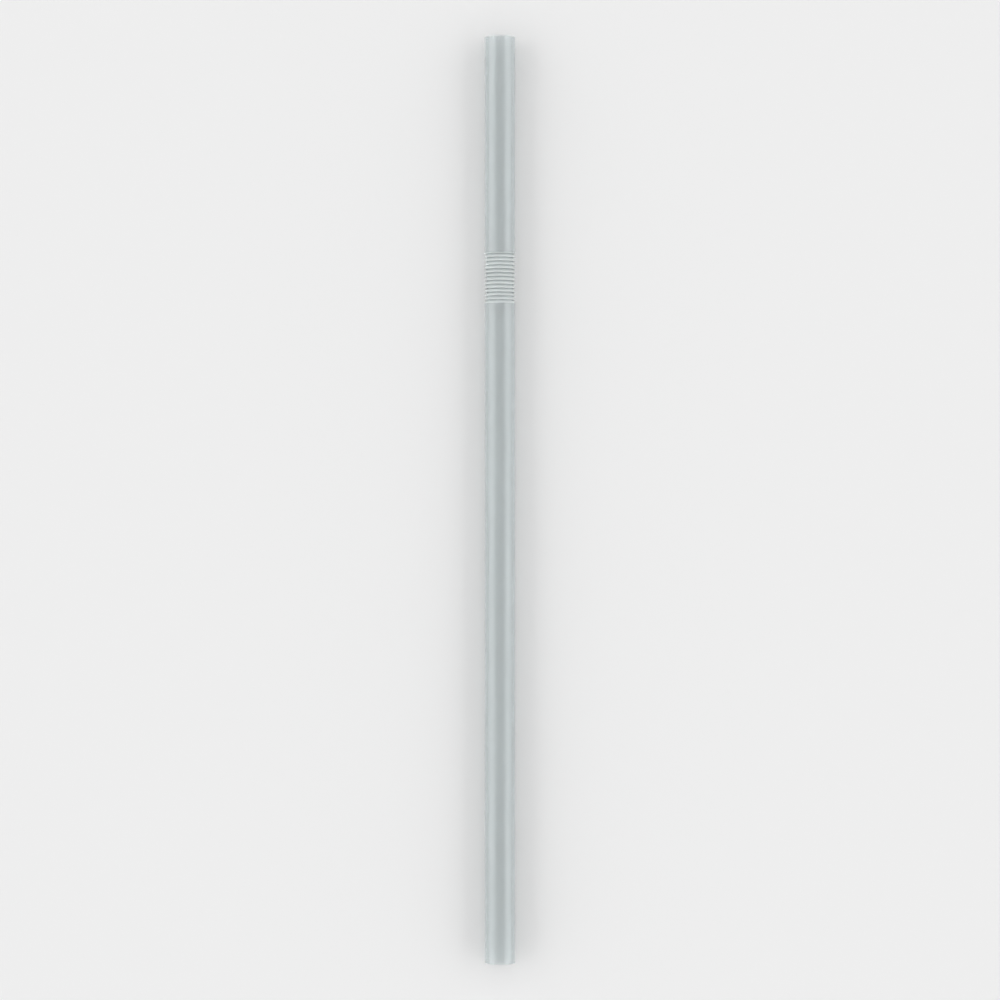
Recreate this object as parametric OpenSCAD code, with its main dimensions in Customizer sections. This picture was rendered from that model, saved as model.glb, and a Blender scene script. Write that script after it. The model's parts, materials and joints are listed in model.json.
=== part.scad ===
// Flexible drinking straw: a thin plastic tube with a folded bending section near its drinking end.
// It lies on its side along Y, with the drinking end at +Y and the foot at -Y.
// Sizes are in millimetres.

/* [Tube] */
// Whole length, with the folds closed up
total_l = 240; // [180:1:260]
// Outside diameter
tube_d = 8; // [6:0.5:10]
// Wall of the plain tube
wall = 0.2; // [0.18:0.01:0.3]

/* [Bending section] */
// Plain tube from the drinking end to the first rim
tip_l = 56; // [40:1:70]
// Number of folds
folds = 13; // [8:1:16]
// Distance from one rim to the next, with the folds closed up
fold_pitch = 1.0; // [0.9:0.05:1.3]
// Height of a fold, from its root on the bore side to its rim
fold_height = 1.0; // [0.9:0.05:1.2]
// How far each short wall leans back under its rim
fold_back = 0.2; // [0.1:0.05:0.3]
// Wall of the folds, which are drawn thinner than the tube
fold_wall = 0.15; // [0.12:0.01:0.18]
// Radius of the bends at rims and roots, to the middle of the wall
bend_r = 0.12; // [0.11:0.01:0.15]
// Length over which the wall thins from the tube to the folds
draw_l = 0.8; // [0.4:0.1:2]

/* [Hidden] */
$fn = 96;
// Straight steps that make up one bend
bend_steps = 6;
tube_r = tube_d / 2;
bore_r = tube_r - wall;
folds_end = tip_l + folds * fold_pitch;
// Distances from the straw's axis to the centres of the rim bends and of the root bends
rim_r = tube_r - fold_wall / 2 - bend_r;
root_r = tube_r - fold_height + fold_wall / 2 + bend_r;
drop = rim_r - root_r;
long_run = fold_pitch + fold_back;
// Headings of the two walls of a fold, measured from the way to the foot and positive outwards.
// Each wall is the line that passes between its two bends and touches both.
short_heading = atan2(-drop, -fold_back) - asin(2 * bend_r / norm([fold_back, drop]));
long_heading = atan2(drop, long_run) + asin(2 * bend_r / norm([long_run, drop]));

// Unit vector to the outer side of a wall that runs along this heading
function outward(heading) = [-sin(heading), cos(heading)];

// Points around one bend, from one heading to the next
function bend(centre, radius, from, to) = [
    for (i = [0:bend_steps])
        centre + radius * outward(from + (to - from) * i / bend_steps)
];

// The bend at rim k: it starts level on the tip and ends level on the leg
function rim(k, side) = bend(
    [tip_l + k * fold_pitch, rim_r],
    side * fold_wall / 2 + bend_r,
    k == 0 ? 0 : long_heading,
    k == folds ? 0 : short_heading
);

// The bend at root k, which lies a little way back under rim k
function root(k, side) = bend(
    [tip_l + k * fold_pitch - fold_back, root_r],
    side * fold_wall / 2 - bend_r,
    short_heading,
    long_heading
);

// One face of the folded wall as [distance from the drinking end, radius]; side is 1 outside and -1 inside
function folded_face(side) = [
    for (k = [0:folds])
        each concat(rim(k, side), k == folds ? [] : root(k, side))
];

function reversed(points) = [for (i = [len(points) - 1:-1:0]) points[i]];

// The cut through the whole wall, from the drinking end to the foot and back along the bore
wall_section = concat(
    [[0, tube_r]],
    folded_face(1),
    [[total_l, tube_r], [total_l, bore_r], [folds_end + draw_l, bore_r]],
    reversed(folded_face(-1)),
    [[tip_l - draw_l, bore_r], [0, bore_r]]
);

module straw()
    color([0.86, 0.88, 0.88, 0.55])
        translate([0, 0, tube_r])
            rotate([-90, 0, 0])
                rotate_extrude()
                    polygon([for (p = wall_section) [p[1], total_l / 2 - p[0]]]);

straw();
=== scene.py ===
"""Looks of a flexible drinking straw of clear plastic, in metres, in the frame of its construction.

The straw lies along Y with its drinking end at +Y and rests on z = 0. One closed surface of revolution
takes the place of the plain solid: the same cut through the wall, with finer bends, softened cut edges
and the slight ripple that a drawn tube has.
"""

import json
import logging
import math
from dataclasses import dataclass
from enum import Enum

import bpy
import numpy as np
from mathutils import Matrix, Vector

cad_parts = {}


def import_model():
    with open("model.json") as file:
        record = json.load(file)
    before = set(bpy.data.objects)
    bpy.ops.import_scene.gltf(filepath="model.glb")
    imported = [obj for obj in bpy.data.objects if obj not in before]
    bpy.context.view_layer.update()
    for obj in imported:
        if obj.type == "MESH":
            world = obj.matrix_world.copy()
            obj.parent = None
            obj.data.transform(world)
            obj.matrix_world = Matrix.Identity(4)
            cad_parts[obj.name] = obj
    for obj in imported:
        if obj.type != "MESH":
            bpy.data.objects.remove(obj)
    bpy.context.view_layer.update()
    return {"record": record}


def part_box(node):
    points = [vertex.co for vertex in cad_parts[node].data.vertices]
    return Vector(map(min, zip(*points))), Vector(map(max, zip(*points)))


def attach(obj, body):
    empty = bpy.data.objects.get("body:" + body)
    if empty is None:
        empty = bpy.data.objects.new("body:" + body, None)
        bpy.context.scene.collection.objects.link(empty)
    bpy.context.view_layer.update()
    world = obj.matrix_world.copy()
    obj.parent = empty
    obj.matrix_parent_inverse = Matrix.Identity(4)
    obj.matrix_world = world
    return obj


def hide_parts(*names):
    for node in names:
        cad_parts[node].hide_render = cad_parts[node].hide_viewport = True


LOG = logging.getLogger("straw")
MM = 0.001


class Face(Enum):
    """The two faces of the tube's wall."""

    OUTSIDE = 1
    INSIDE = -1


class Zone(Enum):
    """The stretches of the straw that have a finish of their own, by material index."""

    TUBE = 0
    FOLDS = 1


class Flow(Enum):
    """The two ways through a node group's socket."""

    IN = "INPUT"
    OUT = "OUTPUT"


def heading_normal(heading: np.ndarray) -> np.ndarray:
    """Unit vector to the outer side of a wall that runs along a heading.

    The wall is drawn in the plane of (distance from the drinking end, radius), so the normal of a
    heading h is (-sin h, cos h).

    Args:
        heading: headings in radians, any shape.

    Returns:
        Normals with one more axis of length 2.
    """
    return np.stack([-np.sin(heading), np.cos(heading)], axis=-1)


def arc(centre: tuple[float, float], radius: float, start: float, stop: float, steps: int) -> np.ndarray:
    """Points round a bend: centre + radius * normal(heading), with headings spread evenly.

    Args:
        centre: the bend's centre as (distance, radius).
        radius: the bend's radius, negative where the wall turns outwards round its centre.
        start: heading at which the bend begins.
        stop: heading at which it ends.
        steps: number of straight steps.

    Returns:
        An array of steps + 1 points.
    """
    return np.asarray(centre) + radius * heading_normal(np.linspace(start, stop, steps + 1))


def straight(start: np.ndarray, stop: np.ndarray, shares: np.ndarray) -> np.ndarray:
    """Points at the given shares of the line between two points: start + share * (stop - start).

    Args:
        start: first end, not included unless a share is 0.
        stop: other end.
        shares: shares of the way, each from 0 to 1.

    Returns:
        An array with one point for each share.
    """
    return start + shares[:, None] * (stop - start)


def mesh_object(name: str, points: np.ndarray, faces: np.ndarray) -> bpy.types.Object:
    """A smooth-shaded mesh object at the origin.

    Args:
        name: the object's name.
        points: vertex places, in metres.
        faces: vertex numbers, one row of four for each face.

    Returns:
        The new object, linked to the scene.
    """
    mesh = bpy.data.meshes.new(name)
    mesh.from_pydata(points, [], faces.tolist())
    mesh.polygons.foreach_set("use_smooth", np.ones(len(faces), dtype=bool))
    mesh.update()
    made = bpy.data.objects.new(name, mesh)
    bpy.context.scene.collection.objects.link(made)
    return made


@dataclass(frozen=True)
class Ripple:
    """The slight unevenness of a drawn tube: lengthwise die lines and a faint ovality.

    The line depth is the lines' mean depth. The oval half turns are those that the ovality makes along
    the whole straw.
    """

    line_depth: float = 0.004 * MM
    lines: tuple[int, ...] = (5, 9, 14, 22, 31, 43)
    oval_depth: float = 0.02 * MM
    oval_half_turns: float = 0.6
    seed: int = 7

    def depth(self, angle: np.ndarray, along: np.ndarray) -> np.ndarray:
        """How far the surface lies inside its true radius.

        Each wave of the lines dips by its share of the line depth times 1 + cos(n * angle + phase), and
        the ovality by half its depth times 1 - cos(2 * angle + turn), with a turn that grows along the
        straw. Neither ever stands proud of the tube.

        Args:
            angle: angles round the axis, in radians.
            along: places along the straw as a share of its length, the same shape.

        Returns:
            Depths in metres, never negative.
        """
        rng = np.random.default_rng(self.seed)
        phases = rng.uniform(0.0, 2.0 * math.pi, len(self.lines))
        share = self.line_depth / len(self.lines)
        dip = sum(share * (1.0 + np.cos(n * angle + p)) for n, p in zip(self.lines, phases))
        turn = 2.0 * math.pi * self.oval_half_turns * along
        return dip + self.oval_depth * 0.5 * (1.0 - np.cos(2.0 * angle + turn))


@dataclass
class Straw:
    """The straw's wall: plain tip, closed-up folds and leg, as one closed surface of revolution.

    The frame states the first six sizes. The folds' sizes and the draw, the length over which the wall
    thins towards them, are those of the construction. A wall's support points lie at the support share
    of its length from either end.
    """

    length: float
    radius: float
    axis_height: float
    bore: float
    tip: float
    leg: float
    folds: int = 13
    fold_height: float = 1.0 * MM
    fold_back: float = 0.2 * MM
    fold_wall: float = 0.15 * MM
    bend_radius: float = 0.12 * MM
    draw: float = 0.8 * MM
    support: float = 0.12
    lip: float = 0.05 * MM
    bend_steps: int = 8
    lip_steps: int = 4
    columns: int = 128
    row_gap: float = 5.0 * MM

    @classmethod
    def from_frame(cls, record: dict) -> "Straw":
        """Takes the sizes that the construction states from its box and its mounts.

        The solid's flats make its box a little less high than wide, and the finer surface stays inside
        both, so the radius is half of the smaller of the two.

        Args:
            record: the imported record.

        Returns:
            A straw of those sizes.
        """
        low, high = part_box("straw")
        dims = {m["name"]: m["dims"] for m in record["mounts"]}
        return cls(
            length=high[1] - low[1],
            radius=min(high[0] - low[0], high[2] - low[2]) / 2.0,
            axis_height=(low[2] + high[2]) / 2.0,
            bore=dims["tip_bore"]["r_mm"] * MM,
            tip=dims["tip_outside"]["length_mm"] * MM,
            leg=dims["leg_outside"]["length_mm"] * MM,
        )

    @property
    def pitch(self) -> float:
        """Distance from one rim to the next."""
        return (self.length - self.tip - self.leg) / self.folds

    @property
    def rim_radius(self) -> float:
        """Radius at which the rim bends have their centres."""
        return self.radius - self.fold_wall / 2.0 - self.bend_radius

    @property
    def root_radius(self) -> float:
        """Radius at which the root bends have their centres."""
        return self.radius - self.fold_height + self.fold_wall / 2.0 + self.bend_radius

    def headings(self) -> tuple[float, float]:
        """Headings of the short and of the long wall of a fold.

        Each wall touches its two bends from opposite sides. Its heading is that of the line between the
        bends' centres, turned by the angle whose sine is both radii over the distance of the centres.

        Returns:
            The short wall's heading and the long wall's, in radians.
        """
        drop = self.rim_radius - self.root_radius
        run = self.pitch + self.fold_back
        both = 2.0 * self.bend_radius
        short = math.atan2(-drop, -self.fold_back) - math.asin(both / math.hypot(drop, self.fold_back))
        long = math.atan2(drop, run) + math.asin(both / math.hypot(drop, run))
        return short, long

    def folded_face(self, face: Face) -> np.ndarray:
        """One face of the folded wall, from the first rim to the last.

        Rims and roots are arcs round their centres at the bend radius plus or minus half the wall, and
        the straight walls between them get support points near both ends.

        Args:
            face: which face of the wall.

        Returns:
            Points as (distance from the drinking end, radius).
        """
        short, long = self.headings()
        half = face.value * self.fold_wall / 2.0
        shares = np.array([self.support, 1.0 - self.support])
        parts: list[np.ndarray] = []
        for k in range(self.folds + 1):
            here = self.tip + k * self.pitch
            start = 0.0 if k == 0 else long
            stop = 0.0 if k == self.folds else short
            rim = arc((here, self.rim_radius), half + self.bend_radius, start, stop, self.bend_steps)
            if parts:
                parts.append(straight(parts[-1][-1], rim[0], shares))
            parts.append(rim)
            if k < self.folds:
                centre = (here - self.fold_back, self.root_radius)
                root = arc(centre, half - self.bend_radius, short, long, self.bend_steps)
                parts.append(straight(rim[-1], root[0], shares))
                parts.append(root)
        return np.concatenate(parts)

    def plain_rows(self, start: float, stop: float, radius: float) -> np.ndarray:
        """Evenly spread points of a plain stretch of tube, without its two ends.

        Args:
            start: distance of one end from the drinking end.
            stop: distance of the other end.
            radius: the stretch's radius.

        Returns:
            Points as (distance, radius).
        """
        count = max(2, round(abs(stop - start) / self.row_gap))
        where = np.linspace(start, stop, count + 1)[1:-1]
        return np.column_stack([where, np.full(len(where), radius)])

    def cut_end(self, where: float, outwards: int) -> np.ndarray:
        """The softened edge of a cut end: two quarter bends with the flat cut between them.

        Args:
            where: distance of the cut from the drinking end.
            outwards: -1 at the drinking end, 1 at the foot.

        Returns:
            Points as (distance, radius), from the bore out at the drinking end and back at the foot.
        """
        turn = np.linspace(0.0, math.pi / 2.0, self.lip_steps + 1)
        back = where - outwards * self.lip
        outer = np.column_stack(
            [back + outwards * self.lip * np.sin(turn), self.radius - self.lip + self.lip * np.cos(turn)]
        )
        inner = np.column_stack(
            [back + outwards * self.lip * np.cos(turn), self.bore + self.lip - self.lip * np.sin(turn)]
        )
        points = np.concatenate([outer, inner])
        return points if outwards > 0 else points[::-1]

    def section(self) -> tuple[np.ndarray, np.ndarray]:
        """The closed cut through the wall and the zone of each of its rows.

        It runs from the drinking end along the outside to the foot, and back along the bore.

        Returns:
            Points as (distance, radius), and the zone's index of the strip that follows each point.
        """
        folds_end = self.length - self.leg
        outside, inside = self.folded_face(Face.OUTSIDE), self.folded_face(Face.INSIDE)[::-1]
        parts = [
            (self.cut_end(0.0, -1), Zone.TUBE),
            (self.plain_rows(self.lip, self.tip, self.radius), Zone.TUBE),
            (outside[:-1], Zone.FOLDS),
            (outside[-1:], Zone.TUBE),
            (self.plain_rows(folds_end, self.length - self.lip, self.radius), Zone.TUBE),
            (self.cut_end(self.length, 1), Zone.TUBE),
            (self.plain_rows(self.length - self.lip, folds_end + self.draw, self.bore), Zone.TUBE),
            (np.array([[folds_end + self.draw, self.bore]]), Zone.TUBE),
            (inside[:-1], Zone.FOLDS),
            (inside[-1:], Zone.TUBE),
            (np.array([[self.tip - self.draw, self.bore]]), Zone.TUBE),
            (self.plain_rows(self.tip - self.draw, self.lip, self.bore), Zone.TUBE),
        ]
        points = np.concatenate([p for p, _ in parts])
        zones = np.concatenate([np.full(len(p), z.value) for p, z in parts])
        return points, zones

    def surface(self, ripple: Ripple) -> tuple[np.ndarray, np.ndarray, np.ndarray]:
        """The section turned round the straw's axis.

        A point is (r sin a, length / 2 - s, axis height + r cos a), where s and r are a row's distance
        and radius less the ripple, and a is a column's angle.

        Args:
            ripple: the tube's slight unevenness.

        Returns:
            Vertex places, faces as rows of four vertex numbers, and the zone of each face.
        """
        rows, zones = self.section()
        angle = np.linspace(0.0, 2.0 * math.pi, self.columns, endpoint=False)
        along, turn = np.meshgrid(rows[:, 0], angle, indexing="ij")
        reach = rows[:, 1][:, None] - ripple.depth(turn, along / self.length)
        points = np.stack(
            [reach * np.sin(turn), self.length / 2.0 - along, self.axis_height + reach * np.cos(turn)],
            axis=-1,
        )
        row, column = np.meshgrid(np.arange(len(rows)), np.arange(self.columns), indexing="ij")
        next_row, next_column = (row + 1) % len(rows), (column + 1) % self.columns
        corner = np.stack(
            [
                row * self.columns + column,
                next_row * self.columns + column,
                next_row * self.columns + next_column,
                row * self.columns + next_column,
            ],
            axis=-1,
        )
        return points.reshape(-1, 3), corner.reshape(-1, 4), np.repeat(zones, self.columns)

    def build(self, ripple: Ripple) -> bpy.types.Object:
        """Makes the straw's mesh.

        Args:
            ripple: the tube's slight unevenness.

        Returns:
            The straw, riding on the root body in place of the plain solid.
        """
        points, faces, zones = self.surface(ripple)
        made = mesh_object("clear_straw", points, faces)
        made.data.polygons.foreach_set("material_index", zones.astype(np.int32))
        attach(made, "root")
        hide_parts("straw")
        return made

    def dress(self, made: bpy.types.Object, finishes: dict[Zone, "ClearPlastic"]) -> None:
        """Gives each zone its material."""
        for zone in Zone:
            made.data.materials.append(finishes[zone].material(self))


def opaque(colour: tuple[float, float, float]) -> tuple[float, float, float, float]:
    """A colour with full alpha, as a colour socket takes it."""
    return (*colour, 1.0)


def group_number(tree: bpy.types.NodeTree, name: str, flow: Flow, value: float | None = None) -> None:
    """Adds one named number socket to a node group.

    Args:
        tree: the group.
        name: the socket's name.
        flow: whether it takes a number in or gives one out.
        value: its value unless one is set where the group is used.
    """
    made = tree.interface.new_socket(name, in_out=flow.value, socket_type="NodeSocketFloat")
    if value is not None:
        made.default_value = value


def colour_mix(tree: bpy.types.NodeTree, factor: bpy.types.NodeSocket) -> bpy.types.Node:
    """Adds a node that mixes colour A with colour B.

    Args:
        tree: the material's nodes.
        factor: the share of colour B.

    Returns:
        The mixing node, with its colours still to be set.
    """
    made = tree.nodes.new("ShaderNodeMix")
    made.data_type = "RGBA"
    tree.links.new(factor, made.inputs["Factor"])
    return made


@dataclass(frozen=True)
class DrawnLines:
    """The pattern of a drawn plastic tube, as a node group: fine lengthwise lines and a soft haze.

    A fineness is a noise's scale, in features per metre.
    """

    name: str = "Drawn lines"
    stretch: float = 0.02
    line_detail: float = 4.0
    line_roughness: float = 0.65
    haze_fineness: float = 90.0
    haze_detail: float = 3.0

    def group(self) -> bpy.types.NodeTree:
        """The node group, built when it is first asked for."""
        return bpy.data.node_groups.get(self.name) or self.new_group()

    def new_group(self) -> bpy.types.NodeTree:
        """Builds the node group, with inputs Fineness and Stretch and outputs Lines and Haze.

        Object coordinates are multiplied by the stretch along Y, so that noise becomes lines along the
        straw.

        Returns:
            The new group.
        """
        tree = bpy.data.node_groups.new(self.name, "ShaderNodeTree")
        group_number(tree, "Fineness", Flow.IN)
        group_number(tree, "Stretch", Flow.IN, self.stretch)
        group_number(tree, "Lines", Flow.OUT)
        group_number(tree, "Haze", Flow.OUT)
        nodes, links = tree.nodes, tree.links
        given = nodes.new("NodeGroupInput")
        result = nodes.new("NodeGroupOutput")
        place = nodes.new("ShaderNodeTexCoord")
        split = nodes.new("ShaderNodeSeparateXYZ")
        squeeze = nodes.new("ShaderNodeMath")
        squeeze.operation = "MULTIPLY"
        join = nodes.new("ShaderNodeCombineXYZ")
        lines = nodes.new("ShaderNodeTexNoise")
        lines.inputs["Detail"].default_value = self.line_detail
        lines.inputs["Roughness"].default_value = self.line_roughness
        haze = nodes.new("ShaderNodeTexNoise")
        haze.inputs["Scale"].default_value = self.haze_fineness
        haze.inputs["Detail"].default_value = self.haze_detail
        links.new(place.outputs["Object"], split.inputs[0])
        links.new(split.outputs["X"], join.inputs["X"])
        links.new(split.outputs["Y"], squeeze.inputs[0])
        links.new(given.outputs["Stretch"], squeeze.inputs[1])
        links.new(squeeze.outputs[0], join.inputs["Y"])
        links.new(split.outputs["Z"], join.inputs["Z"])
        links.new(join.outputs[0], lines.inputs["Vector"])
        links.new(given.outputs["Fineness"], lines.inputs["Scale"])
        links.new(place.outputs["Object"], haze.inputs["Vector"])
        links.new(lines.outputs["Fac"], result.inputs["Lines"])
        links.new(haze.outputs["Fac"], result.inputs["Haze"])
        return tree


@dataclass(frozen=True)
class ClearPlastic:
    """Natural polypropylene: clear with a milky cast, glossy, with fine lengthwise lines.

    The roughness runs from its first value to its second with the haze. The lines' fineness is their
    number per radius of the straw. The painted bend light is the share of the painted bend colour at
    rims and roots, painted light on the rims and in the shaded roots, and it starts at bend_light_from
    of the way there.
    """

    name: str
    clear_colour: tuple[float, float, float]
    milky_colour: tuple[float, float, float]
    transmission: float
    roughness: tuple[float, float]
    bump: float
    lines_per_radius: float = 6.0
    # Painted light: rims and roots are mixed towards a paler colour, on the rims and in the shaded
    # roots, in place of the light that the bent walls scatter.
    painted_bend_light: float = 0.0
    bend_light_from: float = 0.7
    painted_bend_colour: tuple[float, float, float] = (0.965, 1.0, 1.0)
    index: float = 1.49

    def material(self, straw: Straw) -> bpy.types.Material:
        """The finish as a material.

        Args:
            straw: the straw, whose radius sets the lines' scale.

        Returns:
            A material that reads Object coordinates.
        """
        made = bpy.data.materials.new(self.name)
        made.use_nodes = True
        tree = made.node_tree
        nodes, links = tree.nodes, tree.links
        shader = nodes["Principled BSDF"]
        shader.inputs["IOR"].default_value = self.index
        shader.inputs["Transmission Weight"].default_value = self.transmission
        pattern = nodes.new("ShaderNodeGroup")
        pattern.node_tree = DrawnLines().group()
        pattern.inputs["Fineness"].default_value = self.lines_per_radius / straw.radius
        colour = colour_mix(tree, pattern.outputs["Lines"])
        colour.inputs["A"].default_value = opaque(self.clear_colour)
        colour.inputs["B"].default_value = opaque(self.milky_colour)
        rough = nodes.new("ShaderNodeMapRange")
        rough.inputs["To Min"].default_value, rough.inputs["To Max"].default_value = self.roughness
        links.new(pattern.outputs["Haze"], rough.inputs["Value"])
        links.new(rough.outputs["Result"], shader.inputs["Roughness"])
        bump = nodes.new("ShaderNodeBump")
        bump.inputs["Distance"].default_value = self.bump
        links.new(pattern.outputs["Lines"], bump.inputs["Height"])
        links.new(bump.outputs["Normal"], shader.inputs["Normal"])
        # Painted light: the base colour is mixed towards a paler one at the rims and roots.
        if self.painted_bend_light:
            bend_light_mix = colour_mix(tree, self.painted_light_at_bends(tree, straw))
            bend_light_mix.inputs["B"].default_value = opaque(self.painted_bend_colour)
            links.new(colour.outputs["Result"], bend_light_mix.inputs["A"])
            colour = bend_light_mix
        links.new(colour.outputs["Result"], shader.inputs["Base Color"])
        return made

    def painted_light_at_bends(self, tree: bpy.types.NodeTree, straw: Straw) -> bpy.types.NodeSocket:
        """Painted light at the rims and roots: how much paler the plastic is painted where it is bent
        sharply.

        With r as the distance from the straw's axis, the share of the way from a fold's middle to its
        rim or root is |r - middle radius| over half the fold's height, and the last part of it is
        painted paler.

        Args:
            tree: the material's nodes.
            straw: the straw, whose folds give the radii.

        Returns:
            A socket from 0 on the walls to the finish's share of painted bend light at the bends.
        """
        nodes, links = tree.nodes, tree.links
        half_height = straw.fold_height / 2.0
        place = nodes.new("ShaderNodeTexCoord")
        from_axis = nodes.new("ShaderNodeVectorMath")
        from_axis.operation = "SUBTRACT"
        from_axis.inputs[1].default_value = (0.0, 0.0, straw.axis_height)
        across = nodes.new("ShaderNodeVectorMath")
        across.operation = "MULTIPLY"
        across.inputs[1].default_value = (1.0, 0.0, 1.0)
        radius = nodes.new("ShaderNodeVectorMath")
        radius.operation = "LENGTH"
        off_middle = nodes.new("ShaderNodeMath")
        off_middle.operation = "SUBTRACT"
        off_middle.inputs[1].default_value = straw.radius - half_height
        either_way = nodes.new("ShaderNodeMath")
        either_way.operation = "ABSOLUTE"
        bend_light_mask = nodes.new("ShaderNodeMapRange")
        bend_light_mask.interpolation_type = "SMOOTHSTEP"
        bend_light_mask.inputs["From Min"].default_value = self.bend_light_from * half_height
        bend_light_mask.inputs["From Max"].default_value = half_height
        bend_light_mask.inputs["To Max"].default_value = self.painted_bend_light
        links.new(place.outputs["Object"], from_axis.inputs[0])
        links.new(from_axis.outputs["Vector"], across.inputs[0])
        links.new(across.outputs["Vector"], radius.inputs[0])
        links.new(radius.outputs["Value"], off_middle.inputs[0])
        links.new(off_middle.outputs[0], either_way.inputs[0])
        links.new(either_way.outputs[0], bend_light_mask.inputs["Value"])
        return bend_light_mask.outputs["Result"]


@dataclass(frozen=True)
class MattPaper:
    """Matt pale paper of one even colour, for the floor."""

    name: str
    colour: tuple[float, float, float] = (0.86, 0.86, 0.86)
    roughness: float = 0.9
    specular: float = 0.1

    def material(self) -> bpy.types.Material:
        """The finish as a material.

        Returns:
            The new material.
        """
        made = bpy.data.materials.new(self.name)
        made.use_nodes = True
        shader = made.node_tree.nodes["Principled BSDF"]
        shader.inputs["Base Color"].default_value = opaque(self.colour)
        shader.inputs["Roughness"].default_value = self.roughness
        shader.inputs["Specular IOR Level"].default_value = self.specular
        return made


@dataclass(frozen=True)
class Lamp:
    """A distant rectangular lamp, described as it is seen from the straw, in degrees."""

    name: str
    azimuth: float
    elevation: float
    width: float
    height: float
    share: float
    distance: float = 60.0

    def build(self) -> None:
        """Adds the lamp, facing the straw.

        Its middle lies at azimuth degrees from +Y towards +X and elevation degrees over the floor. A
        side that spans an angle w is 2 * distance * tan(w / 2) long. The power is
        pi^2 * share * distance^2 / sin(elevation), which makes the share the lamp's part of the floor's
        light when it is small. A wide lamp gives less.
        """
        round_z, up = math.radians(self.azimuth), math.radians(self.elevation)
        light = bpy.data.lights.new(self.name, "AREA")
        light.shape = "RECTANGLE"
        light.size = 2.0 * self.distance * math.tan(math.radians(self.width) / 2.0)
        light.size_y = 2.0 * self.distance * math.tan(math.radians(self.height) / 2.0)
        light.energy = math.pi**2 * self.share * self.distance**2 / math.sin(up)
        made = bpy.data.objects.new(self.name, light)
        level, rise = self.distance * math.cos(up), self.distance * math.sin(up)
        made.location = (level * math.sin(round_z), level * math.cos(round_z), rise)
        made.rotation_euler = (math.pi / 2.0 - up, 0.0, math.pi - round_z)
        bpy.context.scene.collection.objects.link(made)


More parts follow.
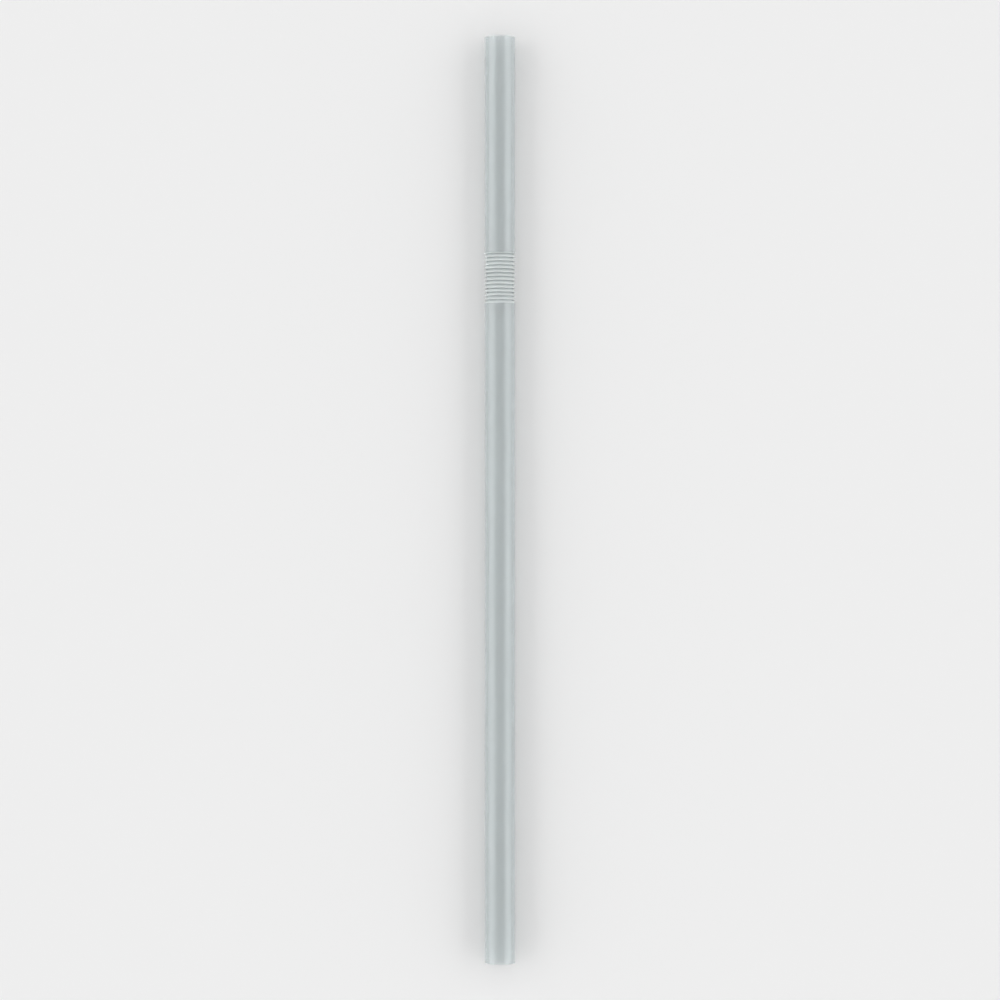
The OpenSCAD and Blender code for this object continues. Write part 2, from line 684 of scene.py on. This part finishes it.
@dataclass
class Studio:
    """A pale floor, soft lamps, a grey sky that is seen as a pale surround, and a camera overhead.

    The lens is in millimetres, and the fill is the share of the picture's height that the straw takes
    up. The zenith and the horizon are the sky's strengths there, and the surround is the strength that
    the camera and the plastic see instead.
    """

    floor_half: float = 8.0
    floor_finish: MattPaper = MattPaper("floor_paper")
    lens: float = 100.0
    fill: float = 0.93
    zenith: float = 0.63
    horizon: float = 0.15
    surround: float = 0.85
    clear_bounces: int = 32
    glossy_bounces: int = 8
    lamps: tuple[Lamp, ...] = (
        Lamp("left_lamp", azimuth=-90.0, elevation=28.0, width=100.0, height=46.0, share=0.42),
        Lamp("right_lamp", azimuth=90.0, elevation=28.0, width=100.0, height=46.0, share=0.4),
        Lamp("head_lamp", azimuth=0.0, elevation=40.0, width=45.0, height=23.0, share=0.06),
        Lamp("foot_lamp", azimuth=180.0, elevation=32.0, width=45.0, height=27.0, share=0.05),
    )

    def floor(self) -> None:
        """Makes the floor, one flat square face."""
        square = np.array([[-1.0, -1.0, 0.0], [1.0, -1.0, 0.0], [1.0, 1.0, 0.0], [-1.0, 1.0, 0.0]])
        made = mesh_object("floor", self.floor_half * square, np.array([[0, 1, 2, 3]]))
        made.data.materials.append(self.floor_finish.material())

    def sky(self) -> None:
        """A grey sky that is brighter overhead, seen as an even pale surround.

        The floor and the diffuse surfaces get their light from the grey sky. Rays from the camera and
        rays that the plastic reflects or lets through meet the surround, as the plastic shows the same
        background as the picture does.
        """
        world = bpy.data.worlds.new("studio_sky")
        bpy.context.scene.world = world
        world.use_nodes = True
        nodes, links = world.node_tree.nodes, world.node_tree.links
        light = nodes["Background"]
        light.inputs["Color"].default_value = opaque((1.0, 1.0, 1.0))
        place = nodes.new("ShaderNodeTexCoord")
        split = nodes.new("ShaderNodeSeparateXYZ")
        ramp = nodes.new("ShaderNodeMapRange")
        ramp.inputs["To Min"].default_value = self.horizon
        ramp.inputs["To Max"].default_value = self.zenith
        path = nodes.new("ShaderNodeLightPath")
        seen = nodes.new("ShaderNodeMath")
        seen.operation = "MAXIMUM"
        seen_or_through = nodes.new("ShaderNodeMath")
        seen_or_through.operation = "MAXIMUM"
        level = nodes.new("ShaderNodeMix")
        level.inputs["B"].default_value = self.surround
        links.new(place.outputs["Generated"], split.inputs[0])
        links.new(split.outputs["Z"], ramp.inputs["Value"])
        links.new(path.outputs["Is Camera Ray"], seen.inputs[0])
        links.new(path.outputs["Is Glossy Ray"], seen.inputs[1])
        links.new(seen.outputs[0], seen_or_through.inputs[0])
        links.new(path.outputs["Is Transmission Ray"], seen_or_through.inputs[1])
        links.new(seen_or_through.outputs[0], level.inputs["Factor"])
        links.new(ramp.outputs["Result"], level.inputs["A"])
        links.new(level.outputs["Result"], light.inputs["Strength"])

    def camera(self, straw: Straw) -> None:
        """A long lens over the straw's middle, with the drinking end at the top of the picture.

        Args:
            straw: the straw, whose length fills the picture's height.
        """
        data = bpy.data.cameras.new("camera")
        data.lens = self.lens
        made = bpy.data.objects.new("camera", data)
        half_view = math.atan(data.sensor_width / 2.0 / self.lens)
        distance = straw.length / 2.0 / self.fill / math.tan(half_view)
        made.location = (0.0, 0.0, 2.0 * straw.radius + distance)
        bpy.context.scene.collection.objects.link(made)
        bpy.context.scene.camera = made

    def build(self, straw: Straw) -> None:
        """Sets the stage round the straw.

        Args:
            straw: the straw.
        """
        self.floor()
        for lamp in self.lamps:
            lamp.build()
        self.sky()
        self.camera(straw)
        scene = bpy.context.scene
        scene.view_settings.view_transform = "Standard"
        scene.cycles.max_bounces = self.clear_bounces
        scene.cycles.transmission_bounces = self.clear_bounces
        scene.cycles.glossy_bounces = self.glossy_bounces


def straw_finishes() -> dict[Zone, ClearPlastic]:
    """The finishes of the tube and of its folds.

    A material's share of clear and milky is even all over it, so the folds have their own. Their paler
    colours and lower transmission are painted light, standing in for the light that the folded walls
    scatter and lose. The tube's transmission is under 0.75 because pictures made at 0.75 had patches of
    grain on it.

    Returns:
        A finish for each zone.
    """
    return {
        Zone.TUBE: ClearPlastic(
            name="clear_tube",
            clear_colour=(0.875, 0.91, 0.915),
            milky_colour=(0.8, 0.85, 0.855),
            transmission=0.72,
            roughness=(0.1, 0.16),
            bump=0.01 * MM,
        ),
        # Painted light: the folds' plastic is given paler colours than the tube's, in place of the light
        # that the folded walls scatter.
        Zone.FOLDS: ClearPlastic(
            name="clear_folds_painted_light",
            clear_colour=(0.955, 1.0, 1.0),
            milky_colour=(0.93, 0.98, 0.983),
            transmission=0.5,
            roughness=(0.08, 0.18),
            bump=0.005 * MM,
            # Painted light: the rims and roots of the folds are painted paler still.
            painted_bend_light=0.9,
        ),
    }


def main() -> None:
    """Loads the frame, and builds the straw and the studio."""
    logging.basicConfig(level=logging.INFO, format="%(name)s: %(message)s")
    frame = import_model()
    straw = Straw.from_frame(frame["record"])
    made = straw.build(Ripple())
    straw.dress(made, straw_finishes())
    LOG.info("%s: %d faces in place of the straw's solid", made.name, len(made.data.polygons))
    Studio().build(straw)


if __name__ == "__main__":
    main()
